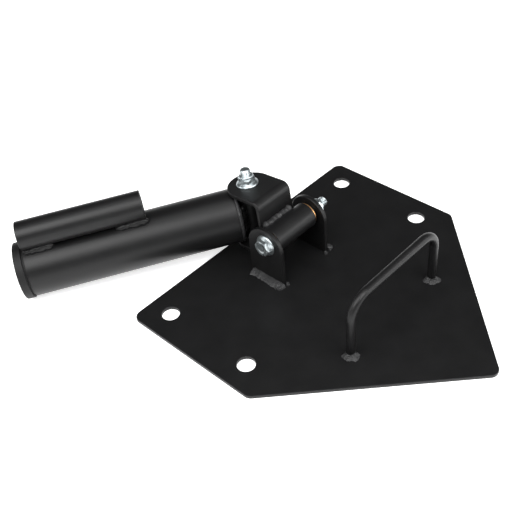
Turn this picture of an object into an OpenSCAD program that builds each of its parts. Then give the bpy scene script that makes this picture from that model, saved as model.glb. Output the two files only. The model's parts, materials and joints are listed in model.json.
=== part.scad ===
// Barbell pivot attachment: a floor plate with a clevis, a fork that tips in the clevis,
// and a bar sleeve that swivels in the fork.
// X runs from the back edge towards the point, Y along the pivot bolt, Z up from the floor.
// The origin is the centre of the four floor holes on the underside of the plate.

/* [Base plate] */
// Width of the plate across the pivot bolt
plate_w = 360; // [300:1:420]
// Length of the plate's straight sides
side_len = 175; // [160:1:220]
// Distance from the straight sides to the point
point_len = 175; // [120:1:220]
// Thickness of the plate
plate_t = 4; // [3:0.5:6]
// Radius of the plate's corners
corner_r = 10; // [4:1:25]
// Diameter of the floor holes
floor_hole_d = 20; // [12:0.5:24]
// Distance from a floor hole's centre to the nearest edges
hole_margin = 30; // [22:1:40]

/* [Clevis ears] */
// Height of the pivot bolt above the floor
pivot_h = 54; // [52:0.5:70]
// Distance of the pivot bolt from the plate's back edge
pivot_from_back = 77; // [72:0.5:90]
// Sideways place of the clevis, measured from the middle of the plate
clevis_side = -3; // [-8:0.5:8]
// Slack between the far bush and the far ear, past the usual play
far_slack = 3.5; // [0:0.5:6]
// Thickness of each ear
ear_t = 5; // [4:0.5:7]
// Width of each ear
ear_w = 49; // [46:1:52]
// How far the ear's round top is centred below the bolt
ear_drop = 6; // [3:0.5:8]
// How far the bolt sits in front of the ear's middle
ear_shift = 2.5; // [0:0.5:5]

/* [Fork] */
// Thickness of the bent fork strip
fork_t = 5; // [4:0.5:6]
// Width of the fork strip
fork_w = 52; // [44:1:54]
// Outer radius of the fork's bends
bend_r = 9; // [7:0.5:14]
// Distance from the pivot bolt to the swivel bolt
swivel_reach = 55.5; // [54:0.5:64]
// How far the round tip is centred behind the swivel bolt
tip_setback = 3.5; // [0:0.5:8]
// How far the fork's middle sits above the pivot bolt
fork_rise = 4; // [0:0.5:6]

/* [Hinge tubes and bushes] */
// Length of the hinge tubes
hinge_tube_len = 60; // [54:1:66]
// Outside diameter of the hinge tubes
hinge_tube_d = 30; // [27:0.5:32]
// Outside diameter of the bushes, and bore of the hinge tubes
bush_d = 20; // [17:0.5:22]
// Length of each bush inside its tube
bush_len = 20; // [12:1:26]
// Thickness of a bush's flange
bush_flange_t = 2; // [1.5:0.1:3]
// Diameter of a bush's flange
bush_flange_d = 29; // [25:0.5:32]
// Play between each bush flange and the plate beside it
side_play = 0.5; // [0.3:0.1:0.8]

/* [Bolts and nuts] */
// Thread diameter of both bolts
bolt_d = 12; // [10:0.5:13]
// Length of the pivot bolt under its head
bolt_len = 100; // [92:1:110]
// Length of the swivel bolt under its head
swivel_bolt_len = 95; // [88:1:105]
// Width across the flats of heads and nuts
hex_af = 18; // [16:0.5:19]
// Height of a bolt head with its flange
head_h = 8.5; // [7:0.5:8.8]
// Height of a nut with its flange
nut_h = 12; // [9:0.5:13]
// Height of the round collar on top of a nut, part of the nut's height
nut_collar_h = 3; // [1.5:0.5:4]
// Diameter of that collar
nut_collar_d = 16.5; // [15:0.5:17]
// Diameter of the flanges under heads and nuts
flange_d = 25.5; // [23:0.5:27]
// Thickness of the rim of those flanges
flange_rim = 1.6; // [1:0.1:2.4]

/* [Bar sleeve] */
// Outside diameter of the bar sleeve
sleeve_d = 63.5; // [58:0.1:66]
// Bore of the bar sleeve, for a 50 mm bar end
sleeve_bore = 52.5; // [51:0.1:54]
// Distance from the swivel bolt to the mouth of the sleeve
mouth_reach = 273; // [240:1:320]
// Outside diameter of the collar at the mouth
collar_d = 66.5; // [64:0.5:74]
// Width of the collar
collar_w = 9; // [6:0.5:14]
// Thickness of the plate that closes the sleeve's inner end
end_plate_t = 5; // [4:0.5:8]
// Diameter of that plate
end_plate_d = 56; // [53.5:0.5:60]

/* [Small tube] */
// Outside diameter of the tube for a one inch bar
small_d = 33.4; // [31:0.1:36]
// Bore of the small tube
small_bore = 26.6; // [26:0.1:28]
// Length of the small tube
small_len = 140; // [110:1:170]
// Distance from the collar's mouth face back to the small tube's end
small_inset = 13; // [10:0.5:30]
// Lean of the small tube off the sleeve's top line, in degrees
small_lean = 6; // [0:0.5:12]

/* [Handle] */
// Diameter of the handle's rod
rod_d = 10; // [8:0.5:14]
// Distance between the handle's legs, centre to centre
handle_span = 144; // [120:1:170]
// Height of the handle's top rail above the floor, at its centre
handle_h = 75.5; // [60:0.5:110]
// Radius of the handle's bends, at the rod's centre
handle_bend = 24; // [14:1:34]
// Distance of the handle from the origin towards the point
handle_x = 131.5; // [118:0.5:145]
// Sideways place of the handle, measured from the middle of the plate
handle_side = 0.5; // [-8:0.5:8]

/* [Pose at rest] */
// Swing of the sleeve at rest, from straight back towards the near side, in degrees
rest_swing = 56; // [40:1:70]

/* [Welds] */
// Leg of the fillet welds along the ears
ear_weld = 5.5; // [3:0.5:7]
// Radius of the beads between tubes and flat plates
tube_weld = 4.5; // [3:0.25:5]
// Radius of the beads between the two bar tubes
bar_weld = 4; // [3:0.25:5]
// Length of each bead between the two bar tubes
bar_weld_len = 36; // [20:1:50]
// Distance of those beads from the line where the two tubes touch
bar_weld_side = 8.4; // [7:0.2:10]
// Distance from a bead's ends to the ends of the edge that it follows
bead_inset = 2.5; // [1:0.5:6]
// Radius of the weld round each handle foot
foot_weld_r = 12.5; // [9:0.5:15]
// Height of the weld round each handle foot
foot_weld_h = 5; // [3:0.5:8]

/* [Hidden] */
$fn = 96;

// Clearances: a hinge bolt in its bush, a bolt in a drilled plate or nut, the collar on the bore
running_clear = 0.05;
hole_clear = 0.25;
thread_clear = 0.05;
collar_clear = 0.5;
// Least room between the sleeve's ring of weld and the fork, and under the lower bolt's head
sleeve_room = 0.45;
head_gap = 0.3;
// Small chamfers on hardware, tubes and the mouth
thread_chamfer = 1.2;
hex_chamfer = 1.2;
hex_face_step = 0.5;
hex_face_d = hex_af - 2 * hex_face_step;
collar_chamfer = 1;
// Height of the cone from a flange's rim up to the flats, and its step in from the rim
flange_cone_h = 2.6;
flange_cone_step = 0.5;
mouth_chamfer = 2;
// Place of a bead between a tube and a flat face: sideways as a share of the tube's radius,
// and back from the face as a share of the bead's radius
crevice_side = 0.8;
crevice_depth = 0.6;
// How far the ring of weld stands past the sleeve's outside, and the gap between an ear's two welds
ring_stand = 0.3;
tack_gap = 0.5;
// How far the weld round a handle's foot stands off the rod at its top
foot_weld_lip = 1;
// Steps in each rounded corner of the plate, and rounds in which the angle at rest settles
corner_steps = 10;
settle_rounds = 8;
// Length that a cutting body stands past what it cuts
past = 1;

black = [0.09, 0.09, 0.1];
zinc = [0.78, 0.8, 0.83];
bronze = [0.8, 0.55, 0.3];

// Both hinges hold a tube between two bush flanges. The fork's is longer where the sleeve needs it.
flange_room = 2 * (bush_flange_t + side_play);
hinge_gap = hinge_tube_len + flange_room;
near_ear_in = hinge_gap / 2;
far_ear_in = hinge_gap / 2 + far_slack;
fork_gap = max(hinge_gap, sleeve_d + 2 * (ring_stand + sleeve_room));
swivel_tube_len = fork_gap - flange_room;
fork_out = fork_gap / 2 + fork_t;
hinge_tube_r = hinge_tube_d / 2;
back_x = -side_len / 2;
pivot_x = back_x + pivot_from_back;
hole_x = side_len / 2 - hole_margin;
hole_y = plate_w / 2 - hole_margin;
collar_r = collar_d / 2;
sleeve_r = sleeve_d / 2;
small_r = small_d / 2;

// The fork tips down until the collar stands on the floor. Its angle settles in a few rounds of
// this sum: the mouth's centre is as high as the collar's lowest point is below it.
swing_cos = cos(rest_swing);
reach_back = swivel_reach + mouth_reach * swing_cos;
function settled(tip, rounds) = rounds < 1 ? tip : settled(asin((pivot_h + fork_rise * cos(tip)
    - collar_r * sqrt(1 - pow(swing_cos * sin(tip), 2))) / reach_back), rounds - 1);
floor_tip = settled(0, settle_rounds);
// It stops sooner where the lower bolt's head would touch the plate
head_reach = swivel_reach + hex_af / 2;
head_depth = fork_out + head_h - fork_rise;
head_tip = asin((pivot_h - plate_t - head_gap) / norm([head_reach, head_depth]))
    - atan2(head_depth, head_reach);
rest_tip = min(floor_tip, head_tip);

// Distances along the sleeve from the swivel bolt
end_plate_x = hinge_tube_r;
sleeve_start = end_plate_x + end_plate_t;
sleeve_end = mouth_reach - collar_w;
small_end = mouth_reach - small_inset;
small_start = small_end - small_len;

// Corners of the plate before they are rounded, anticlockwise from above
plate_corners = [[back_x, -plate_w / 2], [side_len / 2, -plate_w / 2], [side_len / 2 + point_len, 0],
    [side_len / 2, plate_w / 2], [back_x, plate_w / 2]];

function unit(v) = v / norm(v);
// Outward normal of the edge that starts at corner i
function edge_out(pts, i) = let (d = unit(pts[(i + 1) % len(pts)] - pts[i])) [d[1], -d[0]];
// Corner i moved in by r from both of its edges
function inset(pts, i, r) =
    let (a = edge_out(pts, (i + len(pts) - 1) % len(pts)), b = edge_out(pts, i))
    pts[i] - r * (a + b) / (1 + a * b);

// The outline with its corners rounded to radius r, each arc in equal steps from edge to edge
function rounded(pts, r) = [
    for (i = [0:len(pts) - 1])
        let (before = edge_out(pts, (i + len(pts) - 1) % len(pts)), after = edge_out(pts, i),
            start = atan2(before[1], before[0]), turn = acos(before * after), centre = inset(pts, i, r))
        for (k = [0:corner_steps])
            centre + r * [cos(start + turn * k / corner_steps), sin(start + turn * k / corner_steps)]];

// Places a child in the clevis: X across the ears, Y along the pivot bolt from near to far
module at_pivot() {
    translate([pivot_x, clevis_side, pivot_h]) children();
}

// The tipping frame, centred on the pivot: X back towards the sleeve, Z up along the swivel bolt
module tipping() {
    at_pivot() rotate([0, 0, 180]) rotate([0, rest_tip, 0]) children();
}

// The fork's own frame, centred on the fork's height
module in_fork() {
    tipping() translate([0, 0, fork_rise]) children();
}

// The sleeve's own frame: X along the sleeve to its mouth, Z up along the swivel bolt
module in_sleeve() {
    in_fork() translate([swivel_reach, 0, 0]) rotate([0, 0, rest_swing]) children();
}

// The small tube's frame, on the sleeve's axis with Z through the small tube
module in_small() {
    in_sleeve() rotate([-small_lean, 0, 0]) children();
}

module along_x() {
    rotate([0, 90, 0]) children();
}

// Turns Z to the clevis's +Y, from near to far
module along_far() {
    rotate([-90, 0, 0]) children();
}

// A tube along Z with its wall between two radii
module tube(h, r_out, r_in) {
    difference() {
        cylinder(h = h, r = r_out);
        translate([0, 0, -past]) cylinder(h = h + 2 * past, r = r_in);
    }
}

// A hexagon with one end bevelled to a circle
module hex_block(h) {
    rim_d = hex_face_d + 2 * hex_chamfer / tan(30);
    intersection() {
        rotate([0, 0, 30]) cylinder(h = h, d = hex_af / cos(30), $fn = 6);
        union() {
            cylinder(h = h - hex_chamfer, d = rim_d);
            translate([0, 0, h - hex_chamfer])
                cylinder(h = hex_chamfer, d1 = rim_d, d2 = hex_face_d);
        }
    }
}

// The flange under a head or nut: a thin rim and a cone up to the flats
module hex_flange(h) {
    cylinder(h = flange_rim, d = flange_d);
    translate([0, 0, flange_rim])
        cylinder(h = flange_cone_h, d1 = flange_d - 2 * flange_cone_step, d2 = hex_af);
    hex_block(h);
}

// A bolt along Z: the head lies below zero, the shank above
module flange_bolt(length) {
    mirror([0, 0, 1]) hex_flange(head_h);
    cylinder(h = length - thread_chamfer, d = bolt_d);
    translate([0, 0, length - thread_chamfer])
        cylinder(h = thread_chamfer, d1 = bolt_d, d2 = bolt_d - 2 * thread_chamfer);
}

// A flanged lock nut: the collar above its hexagon holds the locking ring
module flange_nut() {
    difference() {
        union() {
            hex_flange(nut_h - nut_collar_h);
            cylinder(h = nut_h, d = nut_collar_d);
        }
        translate([0, 0, -past]) cylinder(h = nut_h + 2 * past, d = bolt_d + 2 * thread_clear);
    }
}

// A flanged bush along Z, its flange just outside zero and its body below
module flanged_bush() {
    difference() {
        union() {
            cylinder(h = bush_flange_t, d = bush_flange_d);
            translate([0, 0, -bush_len]) cylinder(h = bush_len, d = bush_d);
        }
        translate([0, 0, -bush_len - past])
            cylinder(h = bush_len + bush_flange_t + 2 * past, d = bolt_d + 2 * running_clear);
    }
}

module hinge_tube(length) {
    translate([0, 0, -length / 2]) tube(length, hinge_tube_r, bush_d / 2);
}

// A bead along Z with round ends
module bead(length, r) {
    cylinder(h = length - 2 * r, r = r, center = true);
    for (end = [-1, 1])
        translate([0, 0, end * (length / 2 - r)]) sphere(r = r);
}

// A bead in the crevice between a hinge tube along Z and a flat face that touches it at +X
module crevice_bead(length) {
    centre_y = hinge_tube_r * crevice_side;
    difference() {
        translate([hinge_tube_r - tube_weld * crevice_depth, centre_y, 0]) bead(length, tube_weld);
        cylinder(h = length + 2 * past, r = hinge_tube_r, center = true);
        translate([hinge_tube_r, 0, -length / 2 - past])
            cube([2 * tube_weld, centre_y + 2 * tube_weld, length + 2 * past]);
    }
}

module base_plate() {
    color(black)
    difference() {
        linear_extrude(plate_t) polygon(rounded(plate_corners, corner_r));
        for (x = [-hole_x, hole_x], y = [-hole_y, hole_y])
            translate([x, y, -past]) cylinder(h = plate_t + 2 * past, d = floor_hole_d);
    }
}

// One ear, standing on the plate, with its inner face at zero and its thickness towards +Y
module ear() {
    foot = pivot_h - plate_t;
    difference() {
        translate([-ear_shift, 0, 0]) {
            translate([-ear_w / 2, 0, -foot]) cube([ear_w, ear_t, foot - ear_drop]);
            translate([0, 0, -ear_drop]) along_far() cylinder(h = ear_t, d = ear_w);
        }
        translate([0, -past, 0]) along_far()
            cylinder(h = ear_t + 2 * past, d = bolt_d + 2 * hole_clear);
    }
}

// A quarter-round fillet on the outside of an ear's foot and a tack at its inner front corner
module ear_weld_pair() {
    foot = pivot_h - plate_t;
    corner = ear_w / 2 - ear_shift;
    intersection() {
        translate([-ear_shift, ear_t, -foot]) along_x() bead(ear_w + ear_weld, ear_weld);
        translate([-ear_w, ear_t, -foot]) cube([2 * ear_w, 2 * ear_weld, 2 * ear_weld]);
    }
    difference() {
        translate([corner, 0, -foot]) sphere(r = ear_weld);
        translate([0, 0, -2 * foot]) cube([corner, ear_t, 3 * foot]);
        translate([0, -ear_w, -2 * foot]) cube([ear_w, 2 * ear_w, foot]);
        translate([0, ear_t - tack_gap, -2 * foot]) cube([ear_w, ear_w, 3 * foot]);
    }
}

// Puts a far-side shape at the far ear, or mirrors it to the near ear
module at_ear(far) {
    at_pivot() mirror([0, far ? 0 : 1, 0]) translate([0, far ? far_ear_in : near_ear_in, 0])
        children();
}

module near_ear() {
    color(black) at_ear(false) ear();
}

module far_ear() {
    color(black) at_ear(true) ear();
}

module near_ear_weld() {
    color(black) at_ear(false) ear_weld_pair();
}

module far_ear_weld() {
    color(black) at_ear(true) ear_weld_pair();
}

module carry_handle() {
    leg_h = handle_h - plate_t - handle_bend;
    rail = handle_span - 2 * handle_bend;
    color(black)
    translate([handle_x, handle_side, plate_t]) {
        for (side = [-1, 1]) {
            translate([0, side * handle_span / 2, 0]) cylinder(h = leg_h, d = rod_d);
            translate([0, side * rail / 2, leg_h]) rotate([90, 0, side * 90])
                rotate_extrude(angle = 90) translate([handle_bend, 0]) circle(d = rod_d);
        }
        translate([0, -rail / 2, leg_h + handle_bend]) along_far() cylinder(h = rail, d = rod_d);
    }
}

// The weld round one foot of the handle; side is -1 near, 1 far
module foot_weld(side) {
    color(black)
    translate([handle_x, handle_side + side * handle_span / 2, plate_t])
    difference() {
        cylinder(h = foot_weld_h, r1 = foot_weld_r, r2 = rod_d / 2 + foot_weld_lip);
        translate([0, 0, -past]) cylinder(h = foot_weld_h + 2 * past, d = rod_d);
    }
}

module handle_near_weld() {
    foot_weld(-1);
}

module handle_far_weld() {
    foot_weld(1);
}

module pivot_bolt() {
    color(zinc) at_pivot() translate([0, -near_ear_in - ear_t, 0]) along_far()
        flange_bolt(bolt_len);
}

module pivot_nut() {
    color(zinc) at_pivot() translate([0, far_ear_in + ear_t, 0]) along_far() flange_nut();
}

module pivot_tube() {
    color(black) at_pivot() along_far() hinge_tube(hinge_tube_len);
}

module near_bush() {
    color(bronze) at_pivot() translate([0, -hinge_tube_len / 2, 0]) along_far()
        mirror([0, 0, 1]) flanged_bush();
}

module far_bush() {
    color(bronze) at_pivot() translate([0, hinge_tube_len / 2, 0]) along_far() flanged_bush();
}

// Side view of the fork at one offset from its middle surface: half its height and its bend radius
module fork_side(web_x, half_h, r) {
    reach = 2 * swivel_reach;
    centre_x = web_x + r;
    translate([centre_x, -half_h]) square([reach, 2 * half_h]);
    translate([web_x, r - half_h]) square([reach, 2 * (half_h - r)]);
    for (side = [-1, 1])
        translate([centre_x, side * (half_h - r)]) circle(r = r);
}

module fork() {
    tip_x = swivel_reach - tip_setback;
    color(black) in_fork()
    difference() {
        intersection() {
            rotate([90, 0, 0]) linear_extrude(fork_w, center = true) difference() {
                fork_side(hinge_tube_r, fork_out, bend_r);
                fork_side(hinge_tube_r + fork_t, fork_gap / 2, bend_r - fork_t);
            }
            union() {
                translate([0, -fork_w / 2, -fork_out - past])
                    cube([tip_x, fork_w, 2 * (fork_out + past)]);
                translate([tip_x, 0, -fork_out - past])
                    cylinder(h = 2 * (fork_out + past), d = fork_w);
            }
        }
        translate([swivel_reach, 0, -fork_out - past])
            cylinder(h = 2 * (fork_out + past), d = bolt_d + 2 * hole_clear);
    }
}

// Beads above and below the pivot tube, along the fork's web
module fork_welds() {
    color(black) tipping() rotate([90, 0, 0])
        for (side = [0, 1])
            mirror([0, side, 0]) crevice_bead(fork_w - 2 * bead_inset);
}

module swivel_bolt() {
    color(zinc) in_fork() translate([swivel_reach, 0, -fork_out])
        flange_bolt(swivel_bolt_len);
}

module swivel_nut() {
    color(zinc) in_fork() translate([swivel_reach, 0, fork_out]) flange_nut();
}

module swivel_tube() {
    color(black) in_sleeve() hinge_tube(swivel_tube_len);
}

module upper_bush() {
    color(bronze) in_sleeve() translate([0, 0, swivel_tube_len / 2]) flanged_bush();
}

module lower_bush() {
    color(bronze) in_sleeve() mirror([0, 0, 1])
        translate([0, 0, swivel_tube_len / 2]) flanged_bush();
}

module end_plate() {
    color(black) in_sleeve() translate([end_plate_x, 0, 0]) along_x()
        cylinder(h = end_plate_t, d = end_plate_d);
}

// A ring of weld in the corner between the end plate's rim and the sleeve's end, no wider than
// the plate is thick
module end_plate_weld() {
    leg = min(sleeve_r - end_plate_d / 2 + ring_stand, end_plate_t);
    color(black) in_sleeve() translate([sleeve_start, 0, 0]) along_x() mirror([0, 0, 1])
        rotate_extrude() translate([end_plate_d / 2, 0]) intersection() {
            circle(r = leg);
            square(leg);
        }
}

// Beads on both sides of the swivel tube, down the end plate
module swivel_tube_welds() {
    chord = 2 * sqrt(pow(end_plate_d / 2, 2) - pow(hinge_tube_r, 2));
    color(black) in_sleeve()
        for (side = [0, 1])
            mirror([0, side, 0]) crevice_bead(chord - 2 * bead_inset);
}

module bar_sleeve() {
    color(black) in_sleeve() translate([sleeve_start, 0, 0]) along_x()
        tube(sleeve_end - sleeve_start, sleeve_r, sleeve_bore / 2);
}

module mouth_collar() {
    bore_r = sleeve_bore / 2 + collar_clear;
    color(black) in_sleeve() translate([sleeve_end, 0, 0]) along_x()
        rotate_extrude()
            polygon([[bore_r, 0], [collar_r - collar_chamfer, 0], [collar_r, collar_chamfer],
                [collar_r, collar_w - collar_chamfer], [collar_r - collar_chamfer, collar_w],
                [bore_r + mouth_chamfer, collar_w], [bore_r, collar_w - mouth_chamfer]]);
}

module small_tube() {
    color(black) in_small() translate([small_start, 0, sleeve_r + small_r]) along_x()
        tube(small_len, small_r, small_bore / 2);
}

// Beads at both ends of the small tube, in the crevice on the +Y side of the sleeve's frame
module bar_bead_pair() {
    for (x = [small_start, small_end - bar_weld_len])
        difference() {
            translate([x + bar_weld_len / 2, bar_weld_side, sleeve_r]) along_x()
                bead(bar_weld_len, bar_weld);
            translate([x - past, 0, 0]) along_x()
                cylinder(h = bar_weld_len + 2 * past, r = sleeve_r);
            translate([x - past, 0, sleeve_r + small_r]) along_x()
                cylinder(h = bar_weld_len + 2 * past, r = small_r);
        }
}

module small_tube_front_welds() {
    color(black) in_small() bar_bead_pair();
}

module small_tube_back_welds() {
    color(black) in_small() mirror([0, 1, 0]) bar_bead_pair();
}

base_plate();
near_ear();
far_ear();
near_ear_weld();
far_ear_weld();
carry_handle();
handle_near_weld();
handle_far_weld();
pivot_bolt();
pivot_nut();
pivot_tube();
near_bush();
far_bush();
fork();
fork_welds();
swivel_bolt();
swivel_nut();
swivel_tube();
upper_bush();
lower_bush();
end_plate();
end_plate_weld();
swivel_tube_welds();
bar_sleeve();
mouth_collar();
small_tube();
small_tube_front_welds();
small_tube_back_welds();
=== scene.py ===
"""Looks of a barbell pivot attachment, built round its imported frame.

Pieces are modelled in millimetres in the frame of what carries them, then put in the row frame, in metres.
"""
import cmath
import json
import math

import bmesh
import bpy
from mathutils import Matrix, Vector, geometry, noise


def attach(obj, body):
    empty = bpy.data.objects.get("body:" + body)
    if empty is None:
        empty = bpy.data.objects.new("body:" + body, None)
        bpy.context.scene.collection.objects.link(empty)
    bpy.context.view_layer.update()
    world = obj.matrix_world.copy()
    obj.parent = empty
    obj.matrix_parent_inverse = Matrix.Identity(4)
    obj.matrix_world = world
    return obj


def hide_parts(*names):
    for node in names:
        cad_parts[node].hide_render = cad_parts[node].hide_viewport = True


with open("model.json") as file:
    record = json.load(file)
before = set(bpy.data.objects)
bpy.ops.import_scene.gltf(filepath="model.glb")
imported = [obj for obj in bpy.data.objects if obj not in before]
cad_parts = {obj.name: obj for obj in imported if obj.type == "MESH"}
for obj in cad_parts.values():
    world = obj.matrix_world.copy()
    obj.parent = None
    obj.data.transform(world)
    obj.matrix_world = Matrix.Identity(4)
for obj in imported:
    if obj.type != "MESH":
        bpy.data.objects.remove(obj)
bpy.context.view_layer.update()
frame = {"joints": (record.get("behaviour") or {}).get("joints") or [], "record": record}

# Places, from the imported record
joints = {j["name"]: j for j in frame["joints"]}
mounts = {m["name"]: m for m in frame["record"]["mounts"]}
PIVOT = Vector(joints["lift"]["pos_m"])
SWIVEL = Vector(joints["swivel"]["pos_m"])
SWIVEL_UP = Vector(joints["swivel"]["axis"])
BAR_WAY = Vector(mounts["bar_bore"]["axis"])
SMALL_MIDDLE = Vector(mounts["one_inch_bore"]["pos_m"])
PER_METRE = 1000

# Sizes, in millimetres and degrees

# Base plate: straight sides, a point, and four floor holes
PLATE_W, PLATE_T, PLATE_EDGE = 360, 4, 0.55
SIDE_LEN, POINT_LEN = 175, 175
CORNER_R = 10
HOLE_R, HOLE_X, HOLE_Y = 10, 57.5, 150

# Clevis: ears whose round tops have their centres below and behind the pivot, and how far their inner faces
# lie from the pivot's middle
EAR_W, EAR_T = 49, 5
EAR_DROP, EAR_SHIFT = 6, 2.5
NEAR_EAR_IN, FAR_EAR_IN = 32.5, 36
PIVOT_H = PIVOT.z * PER_METRE

# Weld at an ear: a fillet outside, from within the ear's back edge to past its front edge, with a leaning
# round end near the front edge, and a tack past the inner front corner
FILLET_ON_PLATE, FILLET_ON_EAR = 8.2, 4.2
FILLET_BACK, FILLET_FRONT = 2.5, 3.5
LOBE_R, LOBE_H, LOBE_LEAN = 5.4, 2.0, -27
LOBE_BACK, LOBE_OUT, LOBE_UP = 2, 4.2, 1.9
TACK_R, TACK_H = 2.5, 2.2
TACK_FRONT, TACK_IN = 1.6, 0.6

# Handle: a bent rod, and splashes of weld round its feet
ROD_R = 5
HANDLE_X, HANDLE_Y = 131.5, 0.5
HANDLE_SPAN, HANDLE_H, HANDLE_BEND = 144, 75.5, 24
RAIL_STEP = 15
SPLASH_REACH, SPLASH_BEHIND, SPLASH_H = 12.4, 1.2, 3.5
# The way in which the feet were splashed, as an angle in radians from +X to +Y
SPLASH_WAY = -math.pi / 4

# Hinge tubes and their flanged bushes: the far bush's flange shows, the others are hidden
HINGE_R, HINGE_BORE, HINGE_LEN = 15, 10, 60
BUSH_LEN, BUSH_BORE = 20, 6.05
BUSH_FLANGE_R, HIDDEN_FLANGE_R, BUSH_FLANGE_T = 13.8, 11.6, 2

# Bolts: plain shank, then a thread that ends in a dome
BOLT_R, PIVOT_BOLT_LEN, SWIVEL_BOLT_LEN = 6, 100, 95
HOLE_CLEAR = 0.25
SHANK_LEN, THREAD_START = 60, 72
THREAD_PITCH, THREAD_DEPTH_SHARE, CREST_CUT = 1.75, 0.4, 0.1
TIP_LEN, TIP_TAPER, TIP_SLOPE = 1.0, 0.8, 0.95
# Radii of the dome's rings, with how far they lie below the bolt's end
TIP_DOME = ((4.8, 0.75), (4.0, 0.4), (2.8, 0.15), (1.4, 0.03))
# Radii of the dish in the bolt's head, with how deep they lie
HEAD_DISH = ((2, 0.55), (4.4, 0.45), (5.2, 0.2), (5.7, 0))

# Hexagons on flanges, and the crimped collar of a lock nut
HEX_AF, HEX_FACE_IN, HEX_FACE_STEP, HEX_BEVEL = 18, 0.6, 0.1, 30
HEAD_H, NUT_H = 8.5, 12
FLANGE_R, FLANGE_RIM, CONE_TOP, CONE_SLOPE = 12.75, 1.6, 4.2, 0.55
NUT_COLLAR_H, NUT_COLLAR_R, NUT_CLEAR = 3, 8.25, 0.05

# Fork: a strip bent to a U round the pivot tube, with bolt holes near its round tips
FORK_W, FORK_T, FORK_EDGE = 52, 5, 0.9
FORK_OUT, BEND_R = 37.5, 9
TIP_SETBACK = 3.5
RISE = (SWIVEL - PIVOT).dot(SWIVEL_UP) * PER_METRE
FORK_BACK = SWIVEL - PIVOT - (SWIVEL - PIVOT).dot(SWIVEL_UP) * SWIVEL_UP
REACH = FORK_BACK.length * PER_METRE
# The flat strip, measured from its middle: where a bend starts and where an arm starts
BEND_MID_R = BEND_R - FORK_T / 2
BEND_START = FORK_OUT - BEND_R
ARM_START = BEND_START + BEND_MID_R * math.pi / 2
# The bent strip, measured from the pivot: where its arms start
ARM_FROM = HINGE_R + BEND_R

# Beads in the notches beside the hinge tubes: their radius, and how far their middles lie from the face
# that the tube touches and, along it, from where the two touch
BEAD_R, BEAD_OFF_FACE, BEAD_ALONG = 4.0, 2.6, HINGE_R * 0.8
BEAD_STEP = 3
FORK_BEAD_FROM, FORK_BEAD_TO, FORK_BEAD_PITCH = -20, 25, 4.6
SWIVEL_BEAD_HALF, SWIVEL_BEAD_PITCH = 18, 3.3

# Bar sleeve: its end plate, and the collar with a groove behind it
SLEEVE_R, SLEEVE_BORE = 31.75, 26.25
SLEEVE_START, SLEEVE_END, MOUTH = 20, 264, 273
END_PLATE_R = 28
RIM_WELD_R, RIM_WELD_OUT, RIM_WELD_BACK, RIM_WELD_PITCH = 2.4, 1.2, 1.6, 5.2
MOUTH_R, MOUTH_BORE, MOUTH_CHAMFER = 33.0, 26.75, 2
GROOVE_DEPTH, GROOVE_W = 1.6, 2.2

# Small tube, and its beads: the inner one starts past the tube's end on the visible side, and within it on
# the hidden side
SMALL_R, SMALL_BORE, SMALL_LEN = 16.7, 13.3, 140
SMALL_BEAD_R, SMALL_BEAD_SIDE, SMALL_BEAD_UP, SMALL_BEAD_PITCH = 4.5, 8.6, 0.2, 9.0
INNER_BEAD_LEN, OUTER_BEAD_LEN, OUTER_BEAD_BACK = 39, 36, 35
VISIBLE_BEAD_START, HIDDEN_BEAD_START = -3, 1

# Rounding of the cut edges of the ears, of the hinge and bar tubes, and of the small tube
EAR_EDGE, TUBE_EDGE, SMALL_TUBE_EDGE = 0.7, 0.5, 0.6
# How deep a weld's hidden side lies inside what it joins
BURIED = 0.3
# Points nearer than this are one point
MERGE = 1e-4
# Radius of the hole that a turned disc has in its middle
DISC_MIDDLE = 0.01

# Edges that bend by more degrees than this are shaded sharp
SHARP, SHARP_HEX, SHARP_BEAD, SHARP_ROUGH = 38, 32, 60, 70

# Points in a full turn, and steps along bends
TAU = 2 * math.pi
AROUND = 96
TURNS = [TAU * j / AROUND for j in range(AROUND)]
HOLE_AROUND = 48
ROD_AROUND = 48
BEAD_AROUND = 18
RINGS_PER_RIPPLE = 7
HANDLE_BEND_STEPS = 16
FORK_BEND_STEPS = 12


def placed(origin, x_way, z_way):
    """The matrix that puts a piece modelled in millimetres at origin, with its X and Z along two ways."""
    x_way, z_way = Vector(x_way).normalized(), Vector(z_way).normalized()
    turn = Matrix((x_way, z_way.cross(x_way), z_way)).transposed().to_4x4()
    return Matrix.Translation(origin) @ turn @ Matrix.Scale(1 / PER_METRE, 4)


ROW = placed((0, 0, 0), (1, 0, 0), (0, 0, 1))
PIVOT_LINE = placed(PIVOT, (0, 0, 1), (0, 1, 0))
FORK = placed(PIVOT, FORK_BACK, SWIVEL_UP)
SWIVEL_BOLT_LINE = placed(SWIVEL, FORK_BACK, SWIVEL_UP)
SWIVEL_LINE = placed(SWIVEL, BAR_WAY, SWIVEL_UP)
SLEEVE_LINE = placed(SWIVEL, SWIVEL_UP, BAR_WAY)
SMALL_UP = SMALL_MIDDLE - SWIVEL
SMALL_UP -= SMALL_UP.dot(BAR_WAY) * BAR_WAY
SMALL_LINE = placed(SMALL_MIDDLE, SMALL_UP, BAR_WAY)
SEAT_OUT = SMALL_UP.length * PER_METRE


# Mesh building: a part is its vertices and its faces

def skin(rings, closed=False, caps=True):
    """A part from rings with as many points each, joined one after the other."""
    around = len(rings[0])
    verts = [tuple(p) for ring in rings for p in ring]
    faces = []
    for i in range(len(rings) if closed else len(rings) - 1):
        a, b = i * around, (i + 1) % len(rings) * around
        faces += [(a + j, a + (j + 1) % around, b + (j + 1) % around, b + j) for j in range(around)]
    if caps and not closed:
        faces.append(tuple(reversed(range(around))))
        faces.append(tuple(range(len(verts) - around, len(verts))))
    return verts, faces


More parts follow.
